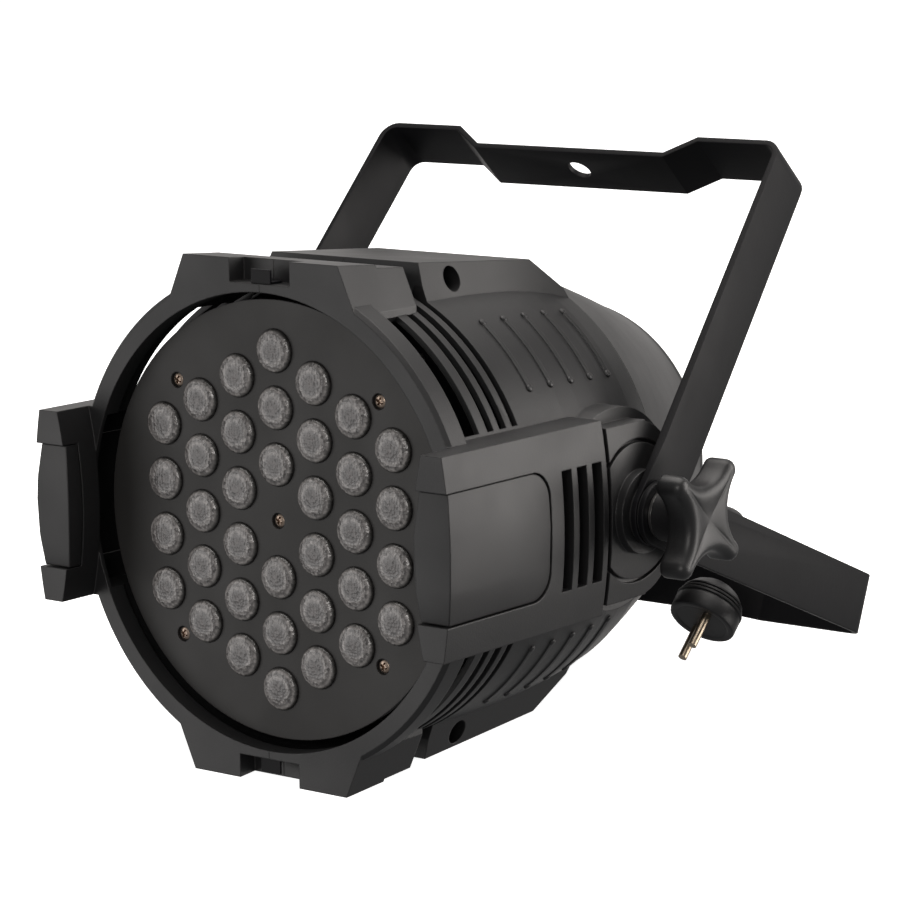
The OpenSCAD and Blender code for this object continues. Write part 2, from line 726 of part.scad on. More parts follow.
// Turns a solid drawn along +Z so that it runs the way the plug's pins point
module plug_frame() {
    lead_frame() translate(plug_at) rotate([180 - acos(-plug_dir[2] / norm(plug_dir)), 0, 0]) children();
}

module plug_body() {
    color(black) plug_frame() rotate([0, 0, pin_turn]) difference() {
        rotate_extrude() polygon([[0, -17], [9, -17], [14.5, -13], [18, -6], [18.5, 0], [18.5, 6],
            [17.5, 7], [0, 7]]);
        for (s = [-1, 1]) translate([s * pin_gap, 0, 2]) cylinder(h = 10, r = pin_r, $fn = 32);
    }
}

module plug_pins() {
    color([0.8, 0.72, 0.55]) plug_frame() rotate([0, 0, pin_turn]) for (s = [-1, 1])
        translate([s * pin_gap, 0, 2]) cylinder(h = 24, r = pin_r, $fn = 32);
}

module plug_relief() {
    color(black) plug_frame() translate([0, 0, -17]) mirror([0, 0, 1]) cylinder(h = 12, r = 6);
}

shell_left();
shell_right();
side_cover_left();
side_cover_right();
rear_housing();
rear_panel();
lens_plate();
lenses();
plate_screws();
led_board();
leds();
heat_sink();
bulkhead();
fan_frame();
fan_rotor();
power_supply();
control_board();
board_posts();
frame_clips();
shell_screws();
panel_screws();
display_window();
button_menu();
button_up();
button_down();
button_enter();
dmx_in_socket();
dmx_out_socket();
fuse_holder();
safety_eye();
cable_gland();
pivot_bushes();
inner_washers();
middle_washers();
hanging_bracket();
floor_bracket();
knob_left();
knob_stud_left();
knob_washer_left();
knob_right();
knob_stud_right();
knob_washer_right();
lead_drop();
lead_coil();
lead_tail();
plug_body();
plug_pins();
plug_relief();
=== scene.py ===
# Par can light with small lenses, on its double bracket
import json
import math

import bmesh
import bpy
from mathutils import Matrix, Vector

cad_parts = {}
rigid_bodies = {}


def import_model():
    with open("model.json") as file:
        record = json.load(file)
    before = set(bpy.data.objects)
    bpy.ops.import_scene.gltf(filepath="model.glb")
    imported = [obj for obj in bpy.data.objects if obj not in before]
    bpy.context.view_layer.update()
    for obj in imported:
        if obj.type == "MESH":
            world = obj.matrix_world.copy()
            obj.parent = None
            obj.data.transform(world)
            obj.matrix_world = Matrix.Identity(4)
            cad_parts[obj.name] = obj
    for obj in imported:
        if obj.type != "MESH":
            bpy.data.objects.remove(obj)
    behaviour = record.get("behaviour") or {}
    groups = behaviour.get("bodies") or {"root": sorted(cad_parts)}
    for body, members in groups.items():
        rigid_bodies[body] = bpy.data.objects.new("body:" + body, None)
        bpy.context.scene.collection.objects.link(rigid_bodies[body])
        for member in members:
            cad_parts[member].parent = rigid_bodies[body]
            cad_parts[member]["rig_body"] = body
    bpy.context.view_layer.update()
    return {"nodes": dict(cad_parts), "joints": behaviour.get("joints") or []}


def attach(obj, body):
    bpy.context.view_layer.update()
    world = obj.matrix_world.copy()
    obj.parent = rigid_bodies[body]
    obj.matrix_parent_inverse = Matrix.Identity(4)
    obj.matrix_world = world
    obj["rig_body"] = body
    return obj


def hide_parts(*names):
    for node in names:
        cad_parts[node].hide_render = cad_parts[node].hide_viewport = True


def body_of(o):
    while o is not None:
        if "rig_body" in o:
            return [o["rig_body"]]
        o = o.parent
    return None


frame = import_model()
nodes = frame["nodes"]
mm = 0.001
pivotBack = 120        # from the lens plate to the pivot

# where the lamp is: its axis runs from the lenses to the rear
joints = {j["name"]: j for j in frame["joints"]}
lampAxis = Vector(joints["fan_spin"]["axis"])
lampUp = Vector((1, 0, 0)).cross(lampAxis)
pivot = Vector(joints["hang_tilt"]["pos_m"])
plateCentre = pivot - lampAxis * pivotBack * mm
lampFrame = Matrix.Translation(plateCentre) @ Matrix(
    ((1, lampAxis.x, lampUp.x), (0, lampAxis.y, lampUp.y), (0, lampAxis.z, lampUp.z))).to_4x4()

# ---- camera ----

camera = {
    "place": (1.0909, -1.3914, 0.5500),
    "aim": (0.0, -0.0027, 0.1328),
    "roll": -3.52,         # degrees, the frame leans a little
    "lens": 140,
    "sensor": 36,
}


def makeCamera():
    data = bpy.data.cameras.new("camera")
    data.lens = camera["lens"]
    data.sensor_width = camera["sensor"]
    cam = bpy.data.objects.new("camera", data)
    bpy.context.scene.collection.objects.link(cam)
    look = Vector(camera["aim"]) - Vector(camera["place"])
    turn = look.to_track_quat("-Z", "Y").to_matrix().to_4x4()
    lean = Matrix.Rotation(math.radians(camera["roll"]), 4, "Z")
    cam.matrix_world = Matrix.Translation(camera["place"]) @ turn @ lean
    bpy.context.scene.camera = cam


makeCamera()
print("camera set")

# ---- helpers for colour, nodes and meshes ----


def tone(code):
    # sRGB hex to linear
    parts = [int(code[i:i + 2], 16) / 255 for i in (1, 3, 5)]
    return tuple(c / 12.92 if c <= 0.04045 else ((c + 0.055) / 1.055) ** 2.4 for c in parts) + (1.0,)


def addNode(tree, kind, settings=None, links=None):
    node = tree.nodes.new(kind)
    for name, value in (settings or {}).items():
        if name in node.inputs:
            node.inputs[name].default_value = value
        else:
            setattr(node, name, value)
    for name, source in (links or {}).items():
        tree.links.new(source, node.inputs[name])
    return node


def perMetre(size):
    # texture scale for a pattern whose cells are size mm across
    return 1000 / size


def newMaterial(name, settings):
    made = bpy.data.materials.new(name)
    made.use_nodes = True
    tree = made.node_tree
    tree.nodes.clear()
    shader = addNode(tree, "ShaderNodeBsdfPrincipled", settings)
    addNode(tree, "ShaderNodeOutputMaterial", links={"Surface": shader.outputs["BSDF"]})
    return made, tree, shader


wearAndSheen = {"samples": 6, "flat": 0.995, "sharp": 0.75}     # how far the normal leans, as a cosine


# mask for the lighter edges, which stand both for rubbed wear and for a painted sheen
def wearAndSheenShare(tree, radius):
    # 0 on flats and up to 1 at an edge, from how far the rounded normal leans
    soft = addNode(tree, "ShaderNodeBevel", {"samples": wearAndSheen["samples"], "Radius": radius * mm})
    face = addNode(tree, "ShaderNodeNewGeometry")
    lean = addNode(tree, "ShaderNodeVectorMath", {"operation": "DOT_PRODUCT"})
    tree.links.new(soft.outputs["Normal"], lean.inputs[0])
    tree.links.new(face.outputs["Normal"], lean.inputs[1])
    share = addNode(tree, "ShaderNodeMapRange", {"From Min": wearAndSheen["flat"], "From Max": wearAndSheen["sharp"]},
                    {"Value": lean.outputs["Value"]})
    return soft, share


def meshPiece(name, verts, faces, material, body="lamp", smooth=40):
    mesh = bpy.data.meshes.new(name)
    mesh.from_pydata([Vector(v) for v in verts], [], faces)
    mesh.validate()
    piece = bpy.data.objects.new(name, mesh)
    bpy.context.scene.collection.objects.link(piece)
    tidyNormals(mesh, smooth)
    mesh.materials.append(material)
    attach(piece, body)
    return piece


def tidyNormals(mesh, smooth):
    solid = bmesh.new()
    solid.from_mesh(mesh)
    bmesh.ops.recalc_face_normals(solid, faces=solid.faces)
    solid.to_mesh(mesh)
    solid.free()
    for face in mesh.polygons:
        face.use_smooth = True
    mesh.set_sharp_from_angle(angle=math.radians(smooth))


def ringStack(rings, closeStart=True, closeEnd=True):
    # skin over rings that all have the same number of points
    count = len(rings[0])
    verts = [p for ring in rings for p in ring]
    faces = []
    for i in range(len(rings) - 1):
        for k in range(count):
            a, b = i * count + k, i * count + (k + 1) % count
            faces.append((a, b, b + count, a + count))
    if closeStart:
        faces.append(tuple(range(count))[::-1])
    if closeEnd:
        faces.append(tuple(range((len(rings) - 1) * count, len(rings) * count)))
    return verts, faces


def turned(profile, place, axis, side, steps=48):
    # rings of a turned shape: profile is (radius, distance along axis)
    across = axis.cross(side).normalized()
    rings = []
    for radius, along in profile:
        rings.append([place + axis * along + (side * math.cos(t) + across * math.sin(t)) * radius
                      for t in (2 * math.pi * k / steps for k in range(steps))])
    return rings


def addPart(verts, faces, newVerts, newFaces):
    start = len(verts)
    verts.extend(newVerts)
    faces.extend(tuple(i + start for i in f) for f in newFaces)


def inLamp(x, y, z):
    return lampFrame @ (Vector((x, y, z)) * mm)


# ---- mains lead ----

lead = {
    "diameter": 7 * mm,
    "length": 1.05,
    "turns": 2.75,
    "coilPlace": (-72, 108),       # behind the pivot, like every route point
    "firstRadius": 29,
    "turnStep": 7.1,
    "coilHeight": 3.8,
    "coilExit": (-58, 156.5),
    "stepsPerTurn": 20,
    "crossHeight": 6.4,            # how high it starts over the turns it crosses
    "crossSteps": 9,
    "dropPoints": [(-48, 150.8, 109), (-48, 158.8, 108.4), (-48, 167.7, 106.3), (-48, 175.7, 101.7),
                   (-48, 181.9, 95), (-47, 185.9, 86.8), (-47, 187.4, 77.5), (-46, 186.8, 67),
                   (-45, 184.6, 56.5), (-44, 180.8, 46.5), (-43, 175.4, 37.3), (-42, 168.5, 29.2),
                   (-42, 160.5, 22.5), (-42, 151, 17.4), (-42, 141, 14.2), (-43, 131, 12.2),
                   (-43, 122, 11.1), (-43, 114, 10.9)],
    "tailPoints": [(-43.9, 156.5, 3.8), (-34, 156.7, 3.9), (-19, 160, 6), (-5, 164, 12), (7, 168, 21.5),
                   (16.5, 172, 34.5), (26, 176.6, 48.5), (35.5, 181.4, 58), (46.3, 185, 63.8),
                   (58.5, 184.4, 66.3), (70.2, 179.1, 65.2), (78.5, 169.7, 60.4), (82, 158, 52),
                   (82, 150.4, 45.7)],
}


def leadRoute():
    # drop from the gland, flat spiral on the floor, tail up to the plug
    route = list(lead["dropPoints"])
    steps = round(lead["turns"] * lead["stepsPerTurn"])
    for k in range(steps + 1):
        angle = -2 * math.pi * lead["turns"] * k / steps
        radius = lead["firstRadius"] + lead["turnStep"] * lead["turns"] * k / steps
        down = max(0, 1 - k / lead["crossSteps"])
        rise = lead["crossHeight"] * down * down * (3 - 2 * down)
        route.append((lead["coilPlace"][0] + radius * math.cos(angle),
                      lead["coilPlace"][1] + radius * math.sin(angle), lead["coilHeight"] + rise))
    route.append((*lead["coilExit"], lead["coilHeight"]))
    route += lead["tailPoints"]
    return [Vector((x, y, z)) * mm + Vector((0, pivot.y, 0)) for x, y, z in route]


def smoothRoute(points, cuts=4):
    # points between the given ones, on a curve through them all
    dense = []
    for i in range(len(points) - 1):
        p0, p1 = points[max(i - 1, 0)], points[i]
        p2, p3 = points[i + 1], points[min(i + 2, len(points) - 1)]
        for k in range(cuts):
            t = k / cuts
            dense.append(0.5 * (2 * p1 + (p2 - p0) * t + (2 * p0 - 5 * p1 + 4 * p2 - p3) * t ** 2
                                + (3 * p1 - p0 - 3 * p2 + p3) * t ** 3))
    return dense + [points[-1]]


def sheathPvc():
    # flexible PVC sheath, extruded: soft black with a faint haze and long fine drag lines
    made, tree, shader = newMaterial("extruded flexible PVC", {
        "Base Color": tone("#151516"), "Roughness": 0.46, "IOR": 1.53})
    place = addNode(tree, "ShaderNodeTexCoord")
    haze = addNode(tree, "ShaderNodeTexNoise", {"Scale": perMetre(9), "Detail": 4},
                   {"Vector": place.outputs["Object"]})
    shade = addNode(tree, "ShaderNodeValToRGB", links={"Fac": haze.outputs["Fac"]})
    shade.color_ramp.elements[0].color = tone("#111112")
    shade.color_ramp.elements[1].color = tone("#222224")
    rough = addNode(tree, "ShaderNodeMapRange", {"To Min": 0.38, "To Max": 0.55},
                    {"Value": haze.outputs["Fac"]})
    fine = addNode(tree, "ShaderNodeTexNoise", {"Scale": perMetre(0.9), "Detail": 2},
                   {"Vector": place.outputs["Object"]})
    skin = addNode(tree, "ShaderNodeBump", {"Strength": 0.12, "Distance": 0.1 * mm},
                   {"Height": fine.outputs["Fac"]})
    tree.links.new(shade.outputs["Color"], shader.inputs["Base Color"])
    tree.links.new(rough.outputs["Result"], shader.inputs["Roughness"])
    tree.links.new(skin.outputs["Normal"], shader.inputs["Normal"])
    return made


pvc = sheathPvc()
leadLine = smoothRoute(leadRoute())


def makeLead():
    curve = bpy.data.curves.new("mainsLead", "CURVE")
    curve.dimensions = "3D"
    curve.bevel_depth = lead["diameter"] / 2
    curve.bevel_resolution = 6
    curve.use_fill_caps = True
    line = curve.splines.new("POLY")
    line.points.add(len(leadLine) - 1)
    for point, place in zip(line.points, leadLine):
        point.co = (*place, 1)
    curve.materials.append(pvc)
    piece = bpy.data.objects.new("mainsLead", curve)
    bpy.context.scene.collection.objects.link(piece)
    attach(piece, "lamp")
    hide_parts("lead_drop", "lead_coil", "lead_tail")
    return piece


mainsLead = makeLead()
leadMeasured = sum((b - a).length for a, b in zip(leadLine, leadLine[1:]))
print("lead is", round(leadMeasured, 3), "m long")

# ---- sleeves, gland and plug ----


sleeve = {
    "steps": 28,           # points round it
    "pitch": 0.45,         # from ring to ring
    "start": 0.05,
    "guide": Vector((0.97, 0.2, 0.1)),     # where a point's first spoke is measured from
}


def sleeveAlong(name, points, radii, material):
    # a tapered tube that follows the lead, with its own radius at each point
    rings = []
    for i, p in enumerate(points):
        way = (points[min(i + 1, len(points) - 1)] - points[max(i - 1, 0)]).normalized()
        side = way.cross(sleeve["guide"]).normalized()
        across = way.cross(side)
        rings.append([p + (side * math.cos(t) + across * math.sin(t)) * radii[i] * mm
                      for t in (2 * math.pi * k / sleeve["steps"] for k in range(sleeve["steps"]))])
    verts, faces = ringStack(rings)
    return meshPiece(name, verts, faces, material, smooth=50)


def alongLead(start, far):
    # evenly spaced points from start to far, in mm from the lead's first point
    found, walked, nextAt = [], 0.0, start
    for a, b in zip(leadLine, leadLine[1:]):
        span = (b - a).length / mm
        while nextAt <= walked + span and nextAt <= far:
            found.append(a.lerp(b, (nextAt - walked) / span))
            nextAt += sleeve["pitch"]
        walked += span
    return found


relief = {
    "length": 26,
    "wide": 5.4,
    "narrow": 4.0,
    "grooveDeep": 0.55,
    "grooveWide": 1.1,
    "groovePitch": 3.2,
    "plainStart": 4,
    "plainEnd": 3,
    "plugExtra": 0.5,      # the plug's sleeve is thicker
}


def reliefRadii(count):
    # tapered, with the ring grooves that let it bend
    radii = []
    for i in range(count):
        at = i * sleeve["pitch"]
        radius = relief["wide"] + (relief["narrow"] - relief["wide"]) * at / relief["length"]
        ribbed = relief["plainStart"] < at < relief["length"] - relief["plainEnd"]
        inGroove = ribbed and (at % relief["groovePitch"]) < relief["grooveWide"]
        radii.append(radius - (relief["grooveDeep"] if inGroove else 0))
    return radii


points = alongLead(sleeve["start"], relief["length"])
sleeveAlong("glandSleeve", points, reliefRadii(len(points)), pvc)
total = leadMeasured / mm
points = alongLead(total - relief["length"], total)[::-1]
plugRadii = [r + relief["plugExtra"] for r in reliefRadii(len(points))]
plugSleeve = sleeveAlong("plugSleeve", points, plugRadii, pvc)
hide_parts("plug_relief")

plug = {
    "place": (82, 128, 27),
    "way": Vector((0, -0.77, -0.64)).normalized(),      # the way the pins point
    "steps": 72,
    "rear": [(2, -17.2), (6.2, -17.2), (7.6, -16.6), (9.5, -15.8), (13.2, -13.4), (15.6, -10.6)],
    "ridges": (-9.6, -7.2, -4.8),
    "ridge": [(16.4, 0), (16.9, 0.5), (16.9, 1.3), (16.1, 1.8)],
    "slope": 0.38,         # the ridges widen towards the pins
    "face": [(18.2, -2.0), (18.5, -1.2), (18.5, 5.4), (18.2, 6.4), (17.4, 6.95), (16.2, 7.0), (14.8, 6.7),
             (14.2, 6.2), (8, 6.1), (1, 6.1)],
}


def makePlug():
    # round plug with finger ridges round its waist and a shallow dish in its face; its pins are the CAD's
    place = Vector(plug["place"]) * mm + Vector((0, pivot.y, 0))
    way, side = plug["way"], Vector((1, 0, 0))
    profile = list(plug["rear"])
    for at in plug["ridges"]:
        grow = (at - plug["ridges"][0]) * plug["slope"]
        profile += [(radius + grow, at + along) for radius, along in plug["ridge"]]
    profile += plug["face"]
    rings = turned([(r * mm, a * mm) for r, a in profile], place, way, side, plug["steps"])
    verts, faces = ringStack(rings)
    body = meshPiece("plugBody", verts, faces, pvc, smooth=32)
    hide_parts("plug_body")
    return body


plugBody = makePlug()
print("lead and plug made")

# ---- case plastics ----


def mouldedAbs(name, base, wornAndSheen, rough, grain, bump):
    # ABS from a spark-eroded mould: even black with a fine grain and a soft broad gloss; the pale edges are
    # partly rubbed wear and partly painted sheen
    made, tree, shader = newMaterial(name, {"Base Color": tone(base), "Roughness": rough, "IOR": 1.53})
    place = addNode(tree, "ShaderNodeTexCoord")
    cloud = addNode(tree, "ShaderNodeTexNoise", {"Scale": perMetre(60), "Detail": 5},
                    {"Vector": place.outputs["Object"]})
    pits = addNode(tree, "ShaderNodeTexVoronoi", {"Scale": perMetre(grain), "feature": "SMOOTH_F1"},
                   {"Vector": place.outputs["Object"]})
    dust = addNode(tree, "ShaderNodeTexNoise", {"Scale": perMetre(grain * 0.7), "Detail": 3},
                   {"Vector": place.outputs["Object"]})
    soft, edge = wearAndSheenShare(tree, 0.8)
    breakUp = addNode(tree, "ShaderNodeMath", {"operation": "MULTIPLY"})
    tree.links.new(edge.outputs["Result"], breakUp.inputs[0])
    tree.links.new(cloud.outputs["Fac"], breakUp.inputs[1])
    # lighter edges, broken up by the cloud: partly rubbed wear, partly painted sheen
    shade = addNode(tree, "ShaderNodeMix", {"data_type": "RGBA"}, {"Factor": breakUp.outputs["Value"]})
    shade.inputs[6].default_value = tone(base)
    shade.inputs[7].default_value = tone(wornAndSheen)
    tree.links.new(shade.outputs[2], shader.inputs["Base Color"])
    gloss = addNode(tree, "ShaderNodeMapRange", {"From Min": 0.3, "From Max": 0.7, "To Min": rough - 0.05,
                                                 "To Max": rough + 0.07}, {"Value": cloud.outputs["Fac"]})
    tree.links.new(gloss.outputs["Result"], shader.inputs["Roughness"])
    height = addNode(tree, "ShaderNodeMath", {"operation": "ADD"})
    tree.links.new(pits.outputs["Distance"], height.inputs[0])
    tree.links.new(dust.outputs["Fac"], height.inputs[1])
    skin = addNode(tree, "ShaderNodeBump", {"Strength": bump, "Distance": 0.12 * mm},
                   {"Height": height.outputs["Value"], "Normal": soft.outputs["Normal"]})
    tree.links.new(skin.outputs["Normal"], shader.inputs["Normal"])
    return made


# the real grain is about 0.4 mm; it is drawn at 1 mm so that it shows
caseAbs = mouldedAbs("grained ABS", "#1b1b1c", "#3c3b3b", 0.44, 1.0, 0.22)
coverAbs = mouldedAbs("fine grained ABS", "#1b1b1c", "#3c3b3b", 0.46, 0.8, 0.14)
knobNylon = mouldedAbs("grained glass-filled nylon", "#1d1d1e", "#454444", 0.42, 0.9, 0.16)
smallAbs = mouldedAbs("moulded black ABS", "#161617", "#343434", 0.40, 0.7, 0.10)


def powderCoat(name, base, rough, sheen):
    # polyester powder on steel: black with a slight orange peel and a satin gloss; the edges are lightened,
    # partly as rubbed wear and partly as painted sheen
    made, tree, shader = newMaterial(name, {
        "Base Color": tone(base), "Roughness": rough, "IOR": 1.5, "Specular IOR Level": sheen})
    place = addNode(tree, "ShaderNodeTexCoord")
    peel = addNode(tree, "ShaderNodeTexNoise", {"Scale": perMetre(2.2), "Detail": 2},
                   {"Vector": place.outputs["Object"]})
    cloud = addNode(tree, "ShaderNodeTexNoise", {"Scale": perMetre(45), "Detail": 4},
                    {"Vector": place.outputs["Object"]})
    soft, edge = wearAndSheenShare(tree, 0.7)
    # lighter edges: partly rubbed wear, partly painted sheen
    shade = addNode(tree, "ShaderNodeMix", {"data_type": "RGBA"}, {"Factor": edge.outputs["Result"]})
    shade.inputs[6].default_value = tone(base)
    shade.inputs[7].default_value = tone("#38373a")
    tree.links.new(shade.outputs[2], shader.inputs["Base Color"])
    gloss = addNode(tree, "ShaderNodeMapRange", {"From Min": 0.3, "From Max": 0.7, "To Min": rough - 0.04,
                                                 "To Max": rough + 0.06}, {"Value": cloud.outputs["Fac"]})
    tree.links.new(gloss.outputs["Result"], shader.inputs["Roughness"])
    skin = addNode(tree, "ShaderNodeBump", {"Strength": 0.18, "Distance": 0.15 * mm},
                   {"Height": peel.outputs["Fac"], "Normal": soft.outputs["Normal"]})
    tree.links.new(skin.outputs["Normal"], shader.inputs["Normal"])
    return made


bracketCoat = powderCoat("black powder coat", "#131315", 0.46, 0.16)
plateCoat = powderCoat("matt black powder coat", "#292827", 0.55, 0.5)


def platedSteel(name, base, rough, streak):
    # plated or extruded metal: fine bright surface, clouded by passivation, with faint lines from the tool
    made, tree, shader = newMaterial(name, {"Base Color": tone(base), "Metallic": 1.0, "Roughness": rough})
    place = addNode(tree, "ShaderNodeTexCoord")
    cloud = addNode(tree, "ShaderNodeTexNoise", {"Scale": perMetre(6), "Detail": 4},
                    {"Vector": place.outputs["Object"]})
    shade = addNode(tree, "ShaderNodeMix", {"data_type": "RGBA"}, {"Factor": cloud.outputs["Fac"]})
    shade.inputs[6].default_value = tone(base)
    shade.inputs[7].default_value = tone(streak)
    tree.links.new(shade.outputs[2], shader.inputs["Base Color"])
    gloss = addNode(tree, "ShaderNodeMapRange", {"To Min": rough - 0.08, "To Max": rough + 0.12},
                    {"Value": cloud.outputs["Fac"]})
    tree.links.new(gloss.outputs["Result"], shader.inputs["Roughness"])
    soft = addNode(tree, "ShaderNodeBevel", {"samples": 4, "Radius": 0.25 * mm})
    lines = addNode(tree, "ShaderNodeTexNoise", {"Scale": perMetre(1.6), "Detail": 3},
                    {"Vector": place.outputs["Object"]})
    skin = addNode(tree, "ShaderNodeBump", {"Strength": 0.03, "Distance": 0.03 * mm},
                   {"Height": lines.outputs["Fac"], "Normal": soft.outputs["Normal"]})
    tree.links.new(skin.outputs["Normal"], shader.inputs["Normal"])
    return made


zincSteel = platedSteel("zinc plated steel", "#a7a6a5", 0.34, "#7d7b78")
yellowSteel = platedSteel("yellow passivated steel", "#c4b3a6", 0.28, "#93806f")
pinBrass = platedSteel("nickel plated brass", "#c2b3a0", 0.3, "#a89a86")
sinkAluminium = platedSteel("extruded aluminium", "#b8b9bb", 0.38, "#96989b")


def plainPolymer(name, base, light, rough, ior, cell, bump):
    # rubber, board resin and other small mouldings: even colour, faint mottle, dull skin
    made, tree, shader = newMaterial(name, {"Base Color": tone(base), "Roughness": rough, "IOR": ior})
    place = addNode(tree, "ShaderNodeTexCoord")
    mottle = addNode(tree, "ShaderNodeTexNoise", {"Scale": perMetre(cell), "Detail": 4},
                     {"Vector": place.outputs["Object"]})
    shade = addNode(tree, "ShaderNodeMix", {"data_type": "RGBA"}, {"Factor": mottle.outputs["Fac"]})
    shade.inputs[6].default_value = tone(base)
    shade.inputs[7].default_value = tone(light)
    tree.links.new(shade.outputs[2], shader.inputs["Base Color"])
    soft = addNode(tree, "ShaderNodeBevel", {"samples": 4, "Radius": 0.4 * mm})
    skin = addNode(tree, "ShaderNodeBump", {"Strength": bump, "Distance": 0.1 * mm},
                   {"Height": mottle.outputs["Fac"], "Normal": soft.outputs["Normal"]})
    tree.links.new(skin.outputs["Normal"], shader.inputs["Normal"])
    return made


washerRubber = plainPolymer("nitrile rubber", "#1a1a1a", "#262626", 0.7, 1.52, 1.2, 0.2)
keyRubber = plainPolymer("silicone rubber", "#303033", "#3d3d40", 0.55, 1.41, 1.5, 0.15)
boardResin = plainPolymer("solder mask on glass fibre", "#14402a", "#1d5637", 0.35, 1.55, 2.5, 0.1)
ledResin = plainPolymer("clear epoxy over phosphor", "#d8c25a", "#ead98c", 0.2, 1.5, 1.5, 0.05)
displayAcrylic = plainPolymer("dark red acrylic", "#1c0506", "#260809", 0.12, 1.49, 20, 0.0)
print("materials made")

# ---- finishes for the CAD nodes that keep their own mesh ----

finishes = {
    "shell_left": caseAbs, "shell_right": caseAbs, "rear_housing": caseAbs, "rear_panel": plateCoat,
    "lens_plate": plateCoat, "led_board": boardResin, "leds": ledResin, "heat_sink": sinkAluminium,
    "bulkhead": bracketCoat, "fan_frame": smallAbs, "fan_rotor": smallAbs, "power_supply": boardResin,
    "control_board": boardResin, "board_posts": zincSteel, "frame_clips": bracketCoat,
    "shell_screws": zincSteel, "panel_screws": zincSteel, "display_window": displayAcrylic,
    "button_menu": keyRubber, "button_up": keyRubber, "button_down": keyRubber,
    "button_enter": keyRubber, "dmx_in_socket": smallAbs, "dmx_out_socket": smallAbs,
    "fuse_holder": smallAbs, "safety_eye": zincSteel, "pivot_bushes": zincSteel,
    "inner_washers": washerRubber, "middle_washers": washerRubber, "knob_stud_left": zincSteel,
    "knob_stud_right": zincSteel, "knob_washer_left": zincSteel, "knob_washer_right": zincSteel,
    "plug_pins": pinBrass,
}


nodeSharp = 28             # degrees


def finishNodes():
    for name, finish in finishes.items():
        part = nodes[name]
        part.data.materials.clear()
        part.data.materials.append(finish)
        if "custom_normal" in part.data.attributes:
            part.data.attributes.remove(part.data.attributes["custom_normal"])
        for face in part.data.polygons:
            face.use_smooth = True
        part.data.set_sharp_from_angle(angle=math.radians(nodeSharp))


finishNodes()
print("nodes finished")

# ---- sheet brackets and side covers, with their edges broken ----


softEdge = {
    "weld": 0.02,
    "flats": 4,            # degrees, faces nearer than this become one
    "sharp": 30,           # degrees, edges over this are bevelled
    "segments": 3,
    "profile": 0.6,
}


def softCopy(name, node, material, width):
    # the node's own shape again, with clean flats and bevelled edges
    mesh = nodes[node].data.copy()
    mesh.name = name
    mesh.materials.clear()
    mesh.materials.append(material)
    shape = bmesh.new()
    shape.from_mesh(mesh)
    bmesh.ops.remove_doubles(shape, verts=shape.verts, dist=softEdge["weld"] * mm)
    bmesh.ops.dissolve_limit(shape, angle_limit=math.radians(softEdge["flats"]), verts=shape.verts,
                             edges=shape.edges)
    sharp = [e for e in shape.edges
             if len(e.link_faces) == 2 and e.calc_face_angle(0) > math.radians(softEdge["sharp"])]
    bmesh.ops.bevel(shape, geom=sharp, offset=width * mm, segments=softEdge["segments"],
                    profile=softEdge["profile"], affect="EDGES", clamp_overlap=True)
    shape.to_mesh(mesh)
    shape.free()
    piece = bpy.data.objects.new(name, mesh)
    bpy.context.scene.collection.objects.link(piece)
    if "custom_normal" in mesh.attributes:
        mesh.attributes.remove(mesh.attributes["custom_normal"])
    tidyNormals(mesh, softEdge["sharp"])
    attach(piece, body_of(nodes[node])[0])
    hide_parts(node)


softCopy("hangingBracket", "hanging_bracket", bracketCoat, 0.6)
softCopy("floorBracket", "floor_bracket", bracketCoat, 0.6)
softCopy("sideCoverLeft", "side_cover_left", coverAbs, 0.7)
softCopy("sideCoverRight", "side_cover_right", coverAbs, 0.7)
print("brackets and covers made")

# ---- knobs ----

knob = {
    "back": 146,           # from the lamp's middle plane
    "hub": 13.5,
    "bore": 4.2,
    "reach": 34,           # to a lobe's tip
    "tip": 5.6,            # radius of a lobe's end
    "hollow": 22,          # radius of the hollows between the lobes
    "hollowPlace": 39,     # of a hollow's centre, from the middle
    "turn": 49,            # angle of the first lobe
    "lobes": 4,
    "tipSteps": 8,         # each side of a tip
    "hollowSteps": 16,
    "boreDepth": 15.2,     # from the knob's back, like the first number of each pair below
    "hubEdge": [(0, -1.5), (0.9, -0.4), (10.6, 0), (11.6, 0.5)],
    # how far each ring is drawn in from the outline
    "lobeEdges": [(12.2, 3.2), (12.5, 1.9), (13.2, 0.8), (14.2, 0.2), (15.4, 0.0), (23.2, 0.0), (24.6, 0.25),
                  (25.8, 0.8), (26.7, 1.6), (27.4, 2.6), (27.85, 3.7), (28.0, 4.8)],
    # share of the face, and how far it has sunk there
    "dish": [(0.86, 0.08), (0.65, 0.4), (0.4, 0.9), (0.15, 1.2), (0.003, 1.25)],
}


def knobOutline():
    # points and outward directions of the four-lobed outline, tip arcs joined to hollow arcs
    tipPlace = Vector((knob["reach"] - knob["tip"], 0))
    hollowPlace = Vector((knob["hollowPlace"], knob["hollowPlace"])) / math.sqrt(2)
    meet = math.atan2(*(hollowPlace - tipPlace).yx)
    outline = []
    for lobe in range(knob["lobes"]):
        turn = Matrix.Rotation(math.radians(knob["turn"] + 360 / knob["lobes"] * lobe), 2)
        for k in range(2 * knob["tipSteps"] + 1):
            angle = meet * (k / knob["tipSteps"] - 1)
            out = Vector((math.cos(angle), math.sin(angle)))
            outline.append((turn @ (tipPlace + out * knob["tip"]), turn @ out))
        first, last = meet + math.pi, 1.5 * math.pi - meet
        for k in range(1, knob["hollowSteps"]):
            angle = first + (last - first) * k / knob["hollowSteps"]
            out = Vector((math.cos(angle), math.sin(angle)))
            outline.append((turn @ (hollowPlace + out * knob["hollow"]), turn @ -out))
    return outline


